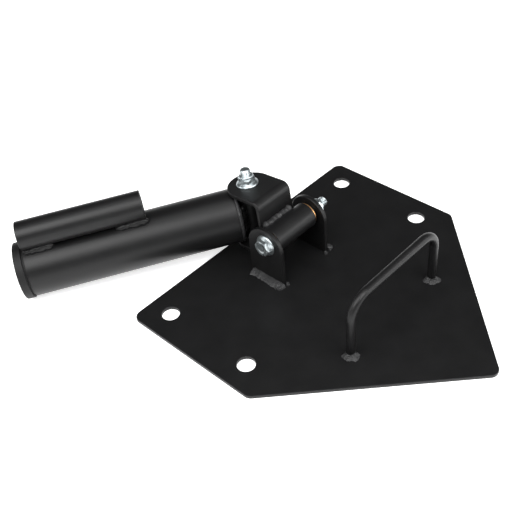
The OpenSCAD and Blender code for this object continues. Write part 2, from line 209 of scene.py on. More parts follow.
def rounded(corners, steps=4):
    """A closed outline through (x, y, radius) corners, each with a radius turned into an arc."""
    line = []
    for i, (x, y, r) in enumerate(corners):
        here = complex(x, y)
        if r == 0:
            line.append(here)
            continue
        a = complex(*corners[i - 1][:2]) - here
        b = complex(*corners[(i + 1) % len(corners)][:2]) - here
        a, b = a / abs(a), b / abs(b)
        half = abs(cmath.phase(b / a)) / 2
        centre = here + (a + b) / abs(a + b) * r / math.sin(half)
        start = here + a * r / math.tan(half) - centre
        turn = cmath.phase((here + b * r / math.tan(half) - centre) / start)
        line += [centre + start * cmath.exp(1j * turn * k / steps) for k in range(steps + 1)]
    return [(p.real, p.imag) for p in line]


def circle(x, y, r, around, sense=1):
    """The points of a circle, anticlockwise, or clockwise with a sense of -1."""
    turns = [sense * TAU * k / around for k in range(around)]
    return [(x + r * math.cos(t), y + r * math.sin(t)) for t in turns]


def hole(x, y, r):
    """The outline of a round hole, as slab takes it."""
    return circle(x, y, r, HOLE_AROUND, -1)


def round_ring(r, z):
    """A ring about Z."""
    return [(r * math.cos(t), r * math.sin(t), z) for t in TURNS]


def lathe(outline):
    """A closed (radius, z) outline turned about Z."""
    return skin([round_ring(r, z) for r, z in outline], closed=True)


def pipe(bore, radius, start, end, edge):
    """A tube about Z with softened ends."""
    corners = [(bore, start, edge), (radius, start, edge), (radius, end, edge), (bore, end, edge)]
    return lathe(rounded(corners))


def moved_in(outline, amount):
    """A closed outline moved to its left by an amount."""
    line = [complex(*p) for p in outline]
    result = []
    for i, here in enumerate(line):
        a, b = here - line[i - 1], line[(i + 1) % len(line)] - here
        a, b = a / abs(a), b / abs(b)
        side = 1j * (a + b) / abs(a + b)
        result.append(here + side * amount / (side * (1j * a).conjugate()).real)
    return [(p.real, p.imag) for p in result]


def slab(outlines, thickness, edge, steps=3):
    """A flat plate about z = 0 from closed outlines, its rim anticlockwise and its holes clockwise."""
    angles = [math.pi / 2 * k / steps for k in range(steps + 1)]
    upper = [(edge * (1 - math.sin(a)), thickness / 2 - edge * (1 - math.cos(a))) for a in angles]
    profile = upper + [(inset, -z) for inset, z in reversed(upper)]
    verts, faces = [], []
    for outline in outlines:
        rings = [[(x, y, z) for x, y in moved_in(outline, inset)] for inset, z in profile]
        ring_verts, ring_faces = skin(rings, caps=False)
        faces += [tuple(k + len(verts) for k in face) for face in ring_faces]
        verts += ring_verts
    for z in (thickness / 2, -thickness / 2):
        loops = [[Vector((x, y, z)) for x, y in moved_in(outline, edge)] for outline in outlines]
        first = len(verts)
        faces += [tuple(first + k for k in face) for face in geometry.tessellate_polygon(loops)]
        verts += [tuple(p) for loop in loops for p in loop]
    return verts, faces


def turned(part, matrix):
    """A part moved by a matrix."""
    verts, faces = part
    return [tuple(matrix @ Vector(p)) for p in verts], faces


def shifted(part, x=0.0, y=0.0, z=0.0):
    """A part moved along the axes."""
    verts, faces = part
    return [(p[0] + x, p[1] + y, p[2] + z) for p in verts], faces


def joined(*parts):
    """Several parts as one."""
    verts, faces = [], []
    for part_verts, part_faces in parts:
        faces += [tuple(k + len(verts) for k in face) for face in part_faces]
        verts += [tuple(p) for p in part_verts]
    return verts, faces


def add_piece(name, node, body, place, coat, part, sharp=SHARP):
    """Makes a piece from a part, and rides it on its body in place of a CAD node."""
    mesh = bpy.data.meshes.new(name)
    mesh.from_pydata(part[0], [], part[1])
    work = bmesh.new()
    work.from_mesh(mesh)
    bmesh.ops.remove_doubles(work, verts=work.verts, dist=MERGE)
    bmesh.ops.recalc_face_normals(work, faces=work.faces)
    work.to_mesh(mesh)
    work.free()
    mesh.transform(place)
    mesh.polygons.foreach_set("use_smooth", [True] * len(mesh.polygons))
    mesh.set_sharp_from_angle(angle=math.radians(sharp))
    mesh.materials.append(coat)
    piece = bpy.data.objects.new(name, mesh)
    bpy.context.scene.collection.objects.link(piece)
    even = piece.modifiers.new("even shading", "WEIGHTED_NORMAL")
    even.keep_sharp = True
    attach(piece, body)
    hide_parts(node)


# Weld shapes: their shares and lengths of unevenness are given in the functions below

def wobble(x, y, z, seed, size):
    """Smooth noise between about -1 and 1 that changes over a length of size, and differs for each seed."""
    return noise.noise(Vector((x / size + 7.3 * seed, y / size - 3.1 * seed, z / size + 1.7 * seed)))


def ripple_height(phase):
    """From 0 between two ripples to 1 on top of one, for a place counted in ripples."""
    return (1 - abs(2 * (phase % 1) - 1)) ** 0.7


def end_share(to_end, length):
    """How thick a weld is near its end: it rises to 1 over a length, as a quarter circle does."""
    return math.sqrt(max(0.02, 1 - max(0.0, 1 - to_end / length) ** 2))


def bead(path, radius, pitch, seed, taper=1.0, ripples=0.13, lumps=0.14):
    """A weld bead along a path of points, in overlapping ripples with round ends."""
    path = [Vector(p) for p in path]
    far = [0.0]
    for a, b in zip(path, path[1:]):
        far.append(far[-1] + (b - a).length)
    total = far[-1]
    steps = int(total / pitch * RINGS_PER_RIPPLE)
    rings = []
    normal = None
    for k in range(steps + 1):
        s = total * k / steps
        i = max(j for j in range(len(far) - 1) if far[j] <= s + 1e-9)
        share = (s - far[i]) / (far[i + 1] - far[i])
        here = path[i].lerp(path[i + 1], share)
        way = (path[i + 1] - path[i]).normalized()
        if normal is None:
            normal = way.orthogonal().normalized()
        normal = (normal - normal.dot(way) * way).normalized()
        other = way.cross(normal)
        round_end = end_share(min(s, total - s), radius * taper)
        ring = []
        for j in range(BEAD_AROUND):
            t = TAU * j / BEAD_AROUND
            phase = s / pitch + 0.35 * math.sin(t + seed) + 0.3 * wobble(s, 0, 0, seed, 6)
            ripple = 1 + ripples * (ripple_height(phase) - 0.54)
            rough = 1 + lumps * wobble(s, 3 * math.cos(t), 3 * math.sin(t), seed, 4.5)
            r = radius * ripple * rough * round_end
            ring.append(here + r * (math.cos(t) * normal + math.sin(t) * other))
        rings.append(ring)
    return skin(rings)


def closed_bead(radius, centre_z, bead_r, pitch, seed, around=14, steps=260):
    """A rippled ring of weld about Z."""
    rings = []
    for k in range(steps):
        a = TAU * k / steps
        s = a * radius
        way = Vector((math.cos(a), math.sin(a), 0))
        drift = 0.35 * wobble(math.cos(a) * 20, math.sin(a) * 20, 0, seed, 7)
        ring = []
        for j in range(around):
            t = TAU * j / around
            phase = s / pitch + 0.3 * math.sin(t)
            r = bead_r * (0.9 + 0.16 * ripple_height(phase))
            r *= 1 + 0.16 * wobble(s, 2 * math.cos(t), 2 * math.sin(t), seed, 4)
            up = Vector((0, 0, centre_z + drift + r * math.sin(t)))
            ring.append(way * (radius + r * math.cos(t)) + up)
        rings.append(ring)
    return skin(rings, closed=True)


def fillet(start, end, on_plate, on_ear, seed, steps=90, across=14):
    """A weld along X in the corner between a plate (z = 0) and an ear (y = 0), with round ends."""
    rings = []
    for k in range(steps + 1):
        x = start + (end - start) * k / steps
        round_end = end_share(min(x - start, end - x), 0.4 * on_plate)
        toe = 1 + 0.2 * wobble(x, 0, 0, seed, 7) + 0.08 * wobble(x, 3, 0, seed, 2.2)
        top = 1 + 0.16 * wobble(x, 9, 0, seed, 6) + 0.05 * wobble(x, 5, 0, seed, 2)
        wide = on_plate * round_end * toe
        high = on_ear * round_end * top
        ring = [(x, -BURIED, -BURIED)]
        for j in range(across + 1):
            share = j / across
            crown = 1 + 0.12 * math.sin(math.pi * share)
            grain = 0.2 * math.sin(math.pi * share) * wobble(x, 8 * share, 0, seed, 1.5)
            ring.append((x, wide * (1 - share) * crown + grain, high * share * crown + grain))
        rings.append(ring)
    return skin(rings)


def crater(radius, height, seed, around=40, steps=12):
    """A low round end of a weld about Z: a raised rim round a shallow dip."""
    rings = [[(0.3 * x, 0.3 * y, -BURIED) for x, y in circle(0, 0, radius, around)]]
    for k in range(steps + 1):
        share = 1 - k / steps * 0.98
        rim = math.exp(-((share - 0.66) / 0.2) ** 2)
        foot = min(1.0, (1 - share) * 6)
        ring = []
        for x, y in circle(0, 0, radius * share, around):
            lump = 0.2 * foot * wobble(x, y, 0, seed, 1.6)
            stretch = 1 + 0.12 * wobble(x, y, 4, seed, 6)
            ring.append((x * stretch, y, height * (0.45 * foot + 0.55 * rim) + lump))
        rings.append(ring)
    return skin(rings)


def splash_edge(turn, front, seed):
    """How far out a splash reaches: in large and small lobes in front, and hardly past the rod behind."""
    x, y = math.cos(turn), math.sin(turn)
    edge = SPLASH_REACH * (0.86 + 0.16 * wobble(4 * x, 4 * y, 0, seed, 2.2))
    edge += 0.8 * wobble(9 * x, 9 * y, 1, seed, 1.6)
    return ROD_R + SPLASH_BEHIND + (edge - ROD_R - SPLASH_BEHIND) * front


def splash_height(x, y, share, front, seed):
    """How high a splash is at a place a share of the way out, with small and large lumps."""
    lump = 0.35 * wobble(x, y, 0, seed, 1.5) + 0.9 * wobble(x, y, 0, seed + 9, 3.2)
    z = SPLASH_H * (1 - share) ** 1.2 * (1 + 0.25 * lump) + 1.1 * math.sqrt(1 - share) * lump
    z += 0.9 * math.sqrt(1 - share) * min(1, share * 3)
    z *= 0.25 + 0.75 * front
    return max(0.0, z)


def splash(seed, around=140, steps=26):
    """A rough ring of weld round a rod that stands on the plate, splashed to one side."""
    rings = []
    for k in range(steps + 1):
        share = k / steps
        ring = []
        for j in range(around):
            t = TAU * j / around
            front = min(1.0, max(0.0, 0.5 + 1.9 * math.cos(t - SPLASH_WAY)))
            r = ROD_R - BURIED + (splash_edge(t, front, seed) - ROD_R + BURIED) * share
            x, y = r * math.cos(t), r * math.sin(t)
            ring.append((x, y, splash_height(x, y, share, front, seed)))
        rings.append(ring)
    bottom = [(x * 0.5, y * 0.5, 0) for x, y, z in rings[0]]
    return skin([bottom] + rings, closed=True)


# Materials: colours are linear, and the patterns' sizes are in metres

COAT_CLOUDS, COAT_PEEL, COAT_GRAIN = 0.03, 0.004, 0.0011
COAT_EDGE_W, PEEL_DEPTH = 0.0007, 0.00004
COAT_SPECULAR, COAT_GLOSS_SPREAD = 0.32, 0.012
SPECK_DARK, SPECK_LIGHT = 0.82, 1.18
# Cosines of the softened normal's lean at which paint is thinnest, and at which it starts to thin
THIN_AT, THIN_FROM = 0.8, 0.97
METAL_CLOUDS, METAL_SPOTS, METAL_GRAIN, METAL_BUMP = 0.004, 0.0016, 0.0006, 0.00002
COAT_DARK, COAT_LIGHT = (0.0042, 0.0042, 0.0044), (0.0054, 0.0054, 0.0056)
COAT_WORN = (0.02, 0.02, 0.021)
WELD_DARK, WELD_LIGHT = (0.016, 0.016, 0.0165), (0.026, 0.026, 0.027)
WELD_WORN = (0.03, 0.03, 0.031)
ZINC, ZINC_TINT = (0.48, 0.54, 0.56), (0.58, 0.63, 0.64)
BRONZE, BRONZE_TINT = (0.86, 0.46, 0.19), (0.9, 0.52, 0.23)


def new_material(name):
    """A material, its nodes and its shader."""
    material = bpy.data.materials.new(name)
    material.use_nodes = True
    return material, material.node_tree, material.node_tree.nodes["Principled BSDF"]


def texture_noise(tree, size, detail, roughness=0.55):
    """A noise texture in the row frame whose grains are about size metres wide."""
    place = tree.nodes.new("ShaderNodeTexCoord")
    grain = tree.nodes.new("ShaderNodeTexNoise")
    grain.inputs["Scale"].default_value = 1 / size
    grain.inputs["Detail"].default_value = detail
    grain.inputs["Roughness"].default_value = roughness
    tree.links.new(place.outputs["Object"], grain.inputs["Vector"])
    return grain.outputs["Fac"]


def ramp(tree, value, low, high, low_at=0.35, high_at=0.65):
    """Maps a value to between two greys or colours."""
    colours = tree.nodes.new("ShaderNodeValToRGB")
    for stop, at, colour in zip(colours.color_ramp.elements, (low_at, high_at), (low, high)):
        stop.position = at
        stop.color = (*colour, 1) if isinstance(colour, tuple) else (colour, colour, colour, 1)
    tree.links.new(value, colours.inputs["Fac"])
    return colours.outputs["Color"]


def mixed(tree, share, a, b, mode="MIX"):
    """A mix of two colours, which may come from nodes, as the share may."""
    mixer = tree.nodes.new("ShaderNodeMix")
    mixer.data_type = "RGBA"
    mixer.blend_type = mode
    for socket, value in ((mixer.inputs["Factor"], share), (mixer.inputs["A"], a), (mixer.inputs["B"], b)):
        if isinstance(value, bpy.types.NodeSocket):
            tree.links.new(value, socket)
        elif isinstance(value, tuple):
            socket.default_value = (*value, 1)
        else:
            socket.default_value = value
    return mixer.outputs["Result"]


def bumped(tree, shader, heights):
    """Stacks bumps of (value, strength, depth in metres) on a shader's normal."""
    last = None
    for value, strength, depth in heights:
        bump = tree.nodes.new("ShaderNodeBump")
        bump.inputs["Strength"].default_value = strength
        bump.inputs["Distance"].default_value = depth
        tree.links.new(value, bump.inputs["Height"])
        if last:
            tree.links.new(last, bump.inputs["Normal"])
        last = bump.outputs["Normal"]
    tree.links.new(last, shader.inputs["Normal"])


def edge_share(tree, radius, low, high):
    """About 1 on sharp edges and 0 on flat faces."""
    soft = tree.nodes.new("ShaderNodeBevel")
    soft.samples = 4
    soft.inputs["Radius"].default_value = radius
    plain = tree.nodes.new("ShaderNodeNewGeometry")
    dot = tree.nodes.new("ShaderNodeVectorMath")
    dot.operation = "DOT_PRODUCT"
    tree.links.new(soft.outputs["Normal"], dot.inputs[0])
    tree.links.new(plain.outputs["Normal"], dot.inputs[1])
    span = tree.nodes.new("ShaderNodeMapRange")
    span.inputs["From Min"].default_value = high
    span.inputs["From Max"].default_value = low
    tree.links.new(dot.outputs["Value"], span.inputs["Value"])
    return span.outputs["Result"]


def powder_coat(name, dark, light, worn, rough, grain_depth):
    """Powder coat: fine orange peel, cloudy colour and gloss, and thinner, lighter paint on edges."""
    material, tree, shader = new_material(name)
    clouds = texture_noise(tree, COAT_CLOUDS, 5, 0.6)
    grain = texture_noise(tree, COAT_GRAIN, 2, 0.6)
    peel = texture_noise(tree, COAT_PEEL, 2)
    colour = ramp(tree, clouds, dark, light)
    speck = ramp(tree, grain, SPECK_DARK, SPECK_LIGHT, 0.3, 0.7)
    colour = mixed(tree, 1.0, colour, speck, "MULTIPLY")
    colour = mixed(tree, edge_share(tree, COAT_EDGE_W, THIN_AT, THIN_FROM), colour, worn)
    tree.links.new(colour, shader.inputs["Base Color"])
    gloss = ramp(tree, clouds, rough - COAT_GLOSS_SPREAD, rough + COAT_GLOSS_SPREAD)
    tree.links.new(gloss, shader.inputs["Roughness"])
    bumped(tree, shader, [(grain, 0.5, grain_depth), (peel, 0.25, PEEL_DEPTH)])
    shader.inputs["Specular IOR Level"].default_value = COAT_SPECULAR
    return material


def bare_metal(name, base, tint, rough_low, rough_high):
    """Plating or bare metal: faint clouds of colour and gloss, fine grain and small, darker spots."""
    material, tree, shader = new_material(name)
    clouds = texture_noise(tree, METAL_CLOUDS, 3)
    spots = texture_noise(tree, METAL_SPOTS, 4, 0.7)
    grain = texture_noise(tree, METAL_GRAIN, 2)
    waves = texture_noise(tree, METAL_CLOUDS, 2)
    colour = ramp(tree, clouds, base, tint)
    dull = ramp(tree, spots, 0.0, 1.0, 0.55, 0.75)
    colour = mixed(tree, dull, colour, tuple(0.9 * c for c in base))
    tree.links.new(colour, shader.inputs["Base Color"])
    tree.links.new(ramp(tree, clouds, rough_low, rough_high), shader.inputs["Roughness"])
    bumped(tree, shader, [(grain, 0.05, METAL_BUMP), (waves, 0.04, METAL_BUMP)])
    shader.inputs["Metallic"].default_value = 1.0
    return material


black = powder_coat("black powder coat", COAT_DARK, COAT_LIGHT, COAT_WORN, rough=0.4, grain_depth=0.00006)
black_collar = powder_coat("duller black powder coat", COAT_DARK, COAT_LIGHT, COAT_WORN,
                           rough=0.58, grain_depth=0.00008)
black_weld = powder_coat("black powder coat over weld", WELD_DARK, WELD_LIGHT, WELD_WORN,
                         rough=0.5, grain_depth=0.00007)
zinc = bare_metal("bright zinc", ZINC, ZINC_TINT, rough_low=0.27, rough_high=0.35)
bronze = bare_metal("sintered bronze", BRONZE, BRONZE_TINT, rough_low=0.34, rough_high=0.44)


# Base plate

def plate_outline():
    """The plate's rim: a straight back and sides, and a point in front."""
    half = PLATE_W / 2
    back = -SIDE_LEN / 2
    corners = [(back, -half), (-back, -half), (-back + POINT_LEN, 0), (-back, half), (back, half)]
    return rounded([(x, y, CORNER_R) for x, y in corners], steps=12)


def add_plate():
    """The plate, lying on the floor."""
    floor_holes = [hole(x, y, HOLE_R) for x in (-HOLE_X, HOLE_X) for y in (-HOLE_Y, HOLE_Y)]
    part = shifted(slab([plate_outline(), *floor_holes], PLATE_T, PLATE_EDGE), z=PLATE_T / 2)
    add_piece("plate", "base_plate", "base", ROW, black, part)


add_plate()


# Clevis: each ear's node, side, inner face and weld seed

EARS = (("near_ear", -1, NEAR_EAR_IN, 3), ("far_ear", 1, FAR_EAR_IN, 5))


def ear_outline(steps=40):
    """An ear about its bolt hole, from the plate's top up."""
    foot = PLATE_T - PIVOT_H
    half = EAR_W / 2
    turns = [math.pi * k / steps for k in range(steps + 1)]
    top = [(-EAR_SHIFT + half * math.cos(t), -EAR_DROP + half * math.sin(t)) for t in turns]
    return [(-EAR_SHIFT - half, foot), (-EAR_SHIFT + half, foot), *top]


def add_ears():
    """Both ears, standing on the plate."""
    ear = slab([ear_outline(), hole(0, 0, BOLT_R + HOLE_CLEAR)], EAR_T, EAR_EDGE)
    for node, side, inside, seed in EARS:
        middle = PIVOT + Vector((0, side * (inside + EAR_T / 2) / PER_METRE, 0))
        add_piece(node + "_plate", node, "base", placed(middle, (1, 0, 0), (0, -1, 0)), black, ear)


def ear_weld(seed):
    """A weld at an ear's foot: x along the ear, y outwards from its outer face, z up from the plate."""
    front = EAR_W / 2
    run = fillet(-front + FILLET_BACK, front + FILLET_FRONT, FILLET_ON_PLATE, FILLET_ON_EAR, seed)
    lean = Matrix.Rotation(math.radians(LOBE_LEAN), 4, "X")
    lobe_place = Matrix.Translation((front - LOBE_BACK, LOBE_OUT, LOBE_UP)) @ lean
    lobe = turned(crater(LOBE_R, LOBE_H, seed), lobe_place)
    tack_place = Matrix.Translation((front + TACK_FRONT, -EAR_T - TACK_IN, 0))
    tack = turned(crater(TACK_R, TACK_H, seed + 1), tack_place)
    return joined(run, lobe, tack)


def add_ear_welds():
    """Both ears' welds, as mirror images with their own unevenness."""
    for node, side, inside, seed in EARS:
        foot = (PIVOT.x * PER_METRE - EAR_SHIFT, PIVOT.y * PER_METRE + side * (inside + EAR_T), PLATE_T)
        corner = Matrix.Translation(foot) @ Matrix.Diagonal((1, side, 1, 1))
        part = turned(ear_weld(seed), corner)
        add_piece(node + "_weld_bead", node + "_weld", "base", ROW, black_weld, part, sharp=SHARP_ROUGH)


add_ears()
add_ear_welds()


# Handle

def handle_path():
    """Centre line of the handle: up, over and down."""
    half = HANDLE_SPAN / 2
    rise = [(-half, PLATE_T), (-half, HANDLE_H - HANDLE_BEND)]
    for k in range(1, HANDLE_BEND_STEPS + 1):
        a = math.pi / 2 * k / HANDLE_BEND_STEPS
        rise.append((-half + HANDLE_BEND * (1 - math.cos(a)), HANDLE_H - HANDLE_BEND * (1 - math.sin(a))))
    rail = [(RAIL_STEP * k, HANDLE_H) for k in range(-2, 3)]
    fall = [(-y, z) for y, z in reversed(rise)]
    return [Vector((HANDLE_X, HANDLE_Y + y, z)) for y, z in rise + rail + fall]


def rod(path, radius):
    """A round rod along a path that stays square to X."""
    across = Vector((1, 0, 0))
    rings = []
    for i, here in enumerate(path):
        way = (path[min(i + 1, len(path) - 1)] - path[max(i - 1, 0)]).normalized()
        other = way.cross(across)
        turns = [TAU * j / ROD_AROUND for j in range(ROD_AROUND)]
        rings.append([here + radius * (math.cos(t) * across + math.sin(t) * other) for t in turns])
    return skin(rings)


def add_handle():
    """The handle's rod and the splash of weld round each foot."""
    add_piece("handle_rod", "carry_handle", "base", ROW, black, rod(handle_path(), ROD_R))
    for node, side, seed in (("handle_near_weld", -1, 11), ("handle_far_weld", 1, 14)):
        part = shifted(splash(seed), HANDLE_X, HANDLE_Y + side * HANDLE_SPAN / 2, PLATE_T)
        add_piece(node + "_splash", node, "base", ROW, black_weld, part, sharp=SHARP_ROUGH)


add_handle()


# Bolts and nuts

def hex_ring(height_of):
    """A ring on the flats of a hexagon, with its height from its distance to the axis."""
    ring = []
    for t in TURNS:
        folded = (t + math.pi / 6) % (math.pi / 3) - math.pi / 6
        r = HEX_AF / 2 / math.cos(folded)
        ring.append((r * math.cos(t), r * math.sin(t), height_of(r)))
    return ring


def flange_and_hex(height):
    """Rings from a flange's underside rim up to the bevelled face of its hexagon."""
    face_r = HEX_AF / 2 - HEX_FACE_IN
    bevel = math.tan(math.radians(HEX_BEVEL))
    # The first and the last corner only give the rounded ones between them their directions
    corners = [(FLANGE_R - 3, 0, 0), (FLANGE_R, 0, 0.35), (FLANGE_R, FLANGE_RIM, 1.5),
               (HEX_AF / 2, CONE_TOP, 0)]
    rings = [round_ring(r, z) for r, z in rounded(corners)[1:-1]]
    rings.append(hex_ring(lambda r: CONE_TOP - (r - HEX_AF / 2) * CONE_SLOPE))
    rings.append(hex_ring(lambda r: height - max(0, r - face_r) * bevel - HEX_FACE_STEP))
    rings.append(round_ring(face_r, height))
    return rings


def thread_rings(start, end, rows_per_turn=12):
    """A thread that fades in over its first turn, with flat crests, and tapers just before its end."""
    rows = int((end - start) / THREAD_PITCH * rows_per_turn)
    rings = []
    for k in range(rows + 1):
        z = start + (end - start) * k / rows
        ring = []
        for t in TURNS:
            phase = (z / THREAD_PITCH - t / TAU) % 1
            flank = min(1, max(0, 1.5 * (1 - abs(2 * phase - 1)) - 0.35))
            groove = THREAD_DEPTH_SHARE * THREAD_PITCH * flank * min(1, (z - start) / THREAD_PITCH)
            r = min(BOLT_R - groove, BOLT_R - CREST_CUT - TIP_SLOPE * max(0, z - (end - TIP_TAPER)))
            ring.append((r * math.cos(t), r * math.sin(t), z))
        rings.append(ring)
    return rings


def bolt(length):
    """A flange bolt: head below zero with a shallow dish in its face, shank and thread above."""
    dish = [round_ring(r, depth - HEAD_H) for r, depth in HEAD_DISH]
    head = [[(x, y, -z) for x, y, z in ring] for ring in reversed(flange_and_hex(HEAD_H))]
    shank = [round_ring(BOLT_R, 0), round_ring(BOLT_R, SHANK_LEN)]
    thread = thread_rings(THREAD_START, length - TIP_LEN)
    tip = [round_ring(r, length - down) for r, down in TIP_DOME]
    return skin(dish + head + shank + thread + tip)


def nut():
    """A flanged lock nut with a crimped collar on top."""
    bore = BOLT_R + NUT_CLEAR
    collar = rounded([(NUT_COLLAR_R, NUT_H - NUT_COLLAR_H, 0), (NUT_COLLAR_R, NUT_H, 1.3),
                      (bore, NUT_H, 0.5), (bore, 0, 0)], steps=5)
    rings = flange_and_hex(NUT_H - NUT_COLLAR_H) + [round_ring(r, z) for r, z in collar]
    return skin(rings, closed=True)


def add_bolt_and_nut(hinge, body, line, length, head_out, nut_out):
    """A hinge's bolt and nut, with the distances of the faces that they bear on."""
    head = shifted(bolt(length), z=-head_out)
    end = shifted(nut(), z=nut_out)
    bolt_node, nut_node = hinge + "_bolt", hinge + "_nut"
    add_piece(bolt_node + "_threaded", bolt_node, body, line, zinc, head, SHARP_HEX)
    add_piece(nut_node + "_locking", nut_node, body, line, zinc, end, SHARP_HEX)


add_bolt_and_nut("pivot", "base", PIVOT_LINE, PIVOT_BOLT_LEN, NEAR_EAR_IN + EAR_T, FAR_EAR_IN + EAR_T)
add_bolt_and_nut("swivel", "tilt_fork", SWIVEL_BOLT_LINE, SWIVEL_BOLT_LEN, FORK_OUT, FORK_OUT)


# Hinge tubes and bushes

def bush(side, flange_r):
    """A flanged bush at one end of a hinge tube, from its body inside to its flange outside."""
    half = HINGE_LEN / 2
    outline = [(BUSH_BORE, half - BUSH_LEN, 0.2), (HINGE_BORE, half - BUSH_LEN, 0.2), (HINGE_BORE, half, 0),
               (flange_r, half, 0.15), (flange_r, half + BUSH_FLANGE_T, 0.4),
               (BUSH_BORE, half + BUSH_FLANGE_T, 0.5)]
    verts, faces = lathe(rounded(outline))
    return [(x, y, side * z) for x, y, z in verts], faces


def add_hinge_tube(node, body, line):
    """A hinge tube about its bolt."""
    tube = pipe(HINGE_BORE, HINGE_R, -HINGE_LEN / 2, HINGE_LEN / 2, TUBE_EDGE)
    add_piece(node + "_pipe", node, body, line, black, tube)


def add_bush(node, body, line, side, flange_r=HIDDEN_FLANGE_R):
    """A bush in one end of a hinge tube."""
    add_piece(node + "_ring", node, body, line, bronze, bush(side, flange_r))


add_hinge_tube("pivot_tube", "tilt_fork", PIVOT_LINE)
add_hinge_tube("swivel_tube", "swivel_sleeve", SWIVEL_LINE)
add_bush("near_bush", "tilt_fork", PIVOT_LINE, -1)
add_bush("far_bush", "tilt_fork", PIVOT_LINE, 1, BUSH_FLANGE_R)
add_bush("lower_bush", "swivel_sleeve", SWIVEL_LINE, -1)
add_bush("upper_bush", "swivel_sleeve", SWIVEL_LINE, 1)


# Fork

def flat_fork(steps=32):
    """The fork as a flat strip about its middle, with round tips and drilled arms."""
    bolt_at = ARM_START + REACH - ARM_FROM
    tip_centre = ARM_START + REACH - TIP_SETBACK - ARM_FROM
    r = FORK_W / 2
    turns = [math.pi * k / steps for k in range(steps + 1)]
    arc = [(tip_centre + r * math.sin(t), -r * math.cos(t)) for t in turns]
    outline = arc + [(-x, -y) for x, y in arc]
    holes = [hole(x, 0, BOLT_R + HOLE_CLEAR) for x in (-bolt_at, bolt_at)]
    return slab([outline, *holes], FORK_T, FORK_EDGE, steps=4)


def bent(along, across, outward):
    """Where a point of the flat strip goes when the strip is bent to its U."""
    side = 1 if along >= 0 else -1
    s = abs(along)
    if s <= BEND_START:
        x, up = HINGE_R + FORK_T / 2 - outward, s
    elif s <= ARM_START:
        a = (s - BEND_START) / BEND_MID_R
        x = ARM_FROM - (BEND_MID_R + outward) * math.cos(a)
        up = BEND_START + (BEND_MID_R + outward) * math.sin(a)
    else:
        x, up = ARM_FROM + s - ARM_START, FORK_OUT - FORK_T / 2 + outward
    return x, across, side * up


def bent_fork():
    """The flat strip, cut across at its bends and bent."""
    verts, faces = flat_fork()
    strip = bmesh.new()
    made = [strip.verts.new(p) for p in verts]
    for face in faces:
        if len(set(face)) > 2:
            strip.faces.new([made[k] for k in face])
    bmesh.ops.remove_doubles(strip, verts=strip.verts, dist=MERGE)
    steps = range(FORK_BEND_STEPS + 1)
    cuts = [BEND_START + (ARM_START - BEND_START) * k / FORK_BEND_STEPS for k in steps]
    for x in cuts + [-c for c in cuts]:
        whole = strip.verts[:] + strip.edges[:] + strip.faces[:]
        bmesh.ops.bisect_plane(strip, geom=whole, plane_co=(x, 0, 0), plane_no=(1, 0, 0))
    for v in strip.verts:
        v.co = bent(*v.co)
    strip.verts.index_update()
    part = [tuple(v.co) for v in strip.verts], [tuple(v.index for v in f.verts) for f in strip.faces]
    strip.free()
    return part


def fork_bead(side, seed):
    """The bead between the fork's web and the pivot tube, above or below."""
    run = []
    for y in range(FORK_BEAD_FROM, FORK_BEAD_TO + 1, BEAD_STEP):
        x = HINGE_R - BEAD_OFF_FACE + 0.5 * wobble(y, 0, 0, seed, 7)
        z = side * (BEAD_ALONG + 0.7 * wobble(y, 5, 0, seed, 6))
        run.append((x, y, z))
    return bead(run, BEAD_R, FORK_BEAD_PITCH, seed, ripples=0.08, lumps=0.4)


def add_fork():
    """The fork and its beads."""
    strip = shifted(bent_fork(), z=RISE)
    add_piece("fork_strip", "fork", "tilt_fork", FORK, black, strip)
    beads = joined(fork_bead(-1, seed=21), fork_bead(1, seed=24))
    add_piece("fork_weld_beads", "fork_welds", "tilt_fork", FORK, black_weld, beads, sharp=SHARP_BEAD)


add_fork()


# Bar sleeve, its closed end and its mouth

def add_sleeve():
    """The sleeve's tube, up to the groove behind its collar."""
    tube = pipe(SLEEVE_BORE, SLEEVE_R, SLEEVE_START, SLEEVE_END - GROOVE_W, TUBE_EDGE)
    add_piece("sleeve_pipe", "bar_sleeve", "swivel_sleeve", SLEEVE_LINE, black, tube)


def add_end_plate():
    """The disc that closes the sleeve's inner end, and the ring of weld round it."""
    disc = rounded([(DISC_MIDDLE, HINGE_R, 0), (END_PLATE_R, HINGE_R, 0.6),
                    (END_PLATE_R, SLEEVE_START, 0.3), (DISC_MIDDLE, SLEEVE_START, 0)])
    add_piece("end_disc", "end_plate", "swivel_sleeve", SLEEVE_LINE, black, lathe(disc))
    ring = closed_bead(END_PLATE_R + RIM_WELD_OUT, SLEEVE_START - RIM_WELD_BACK, RIM_WELD_R,
                       RIM_WELD_PITCH, seed=31)
    add_piece("end_weld_ring", "end_plate_weld", "swivel_sleeve", SLEEVE_LINE, black_weld, ring,
              sharp=SHARP_BEAD)


def swivel_bead(side, seed):
    """The bead between the swivel tube and the end plate, on one side."""
    run = [(HINGE_R - BEAD_OFF_FACE, side * (BEAD_ALONG + 0.5 * wobble(z, 5, 0, seed, 6)), z)
           for z in range(-SWIVEL_BEAD_HALF, SWIVEL_BEAD_HALF + 1, BEAD_STEP)]
    return bead(run, BEAD_R, SWIVEL_BEAD_PITCH, seed)


def add_swivel_welds():
    """Both beads of the swivel tube."""
    beads = joined(swivel_bead(-1, seed=41), swivel_bead(1, seed=44))
    add_piece("swivel_weld_beads", "swivel_tube_welds", "swivel_sleeve", SWIVEL_LINE, black, beads,
              sharp=SHARP_BEAD)


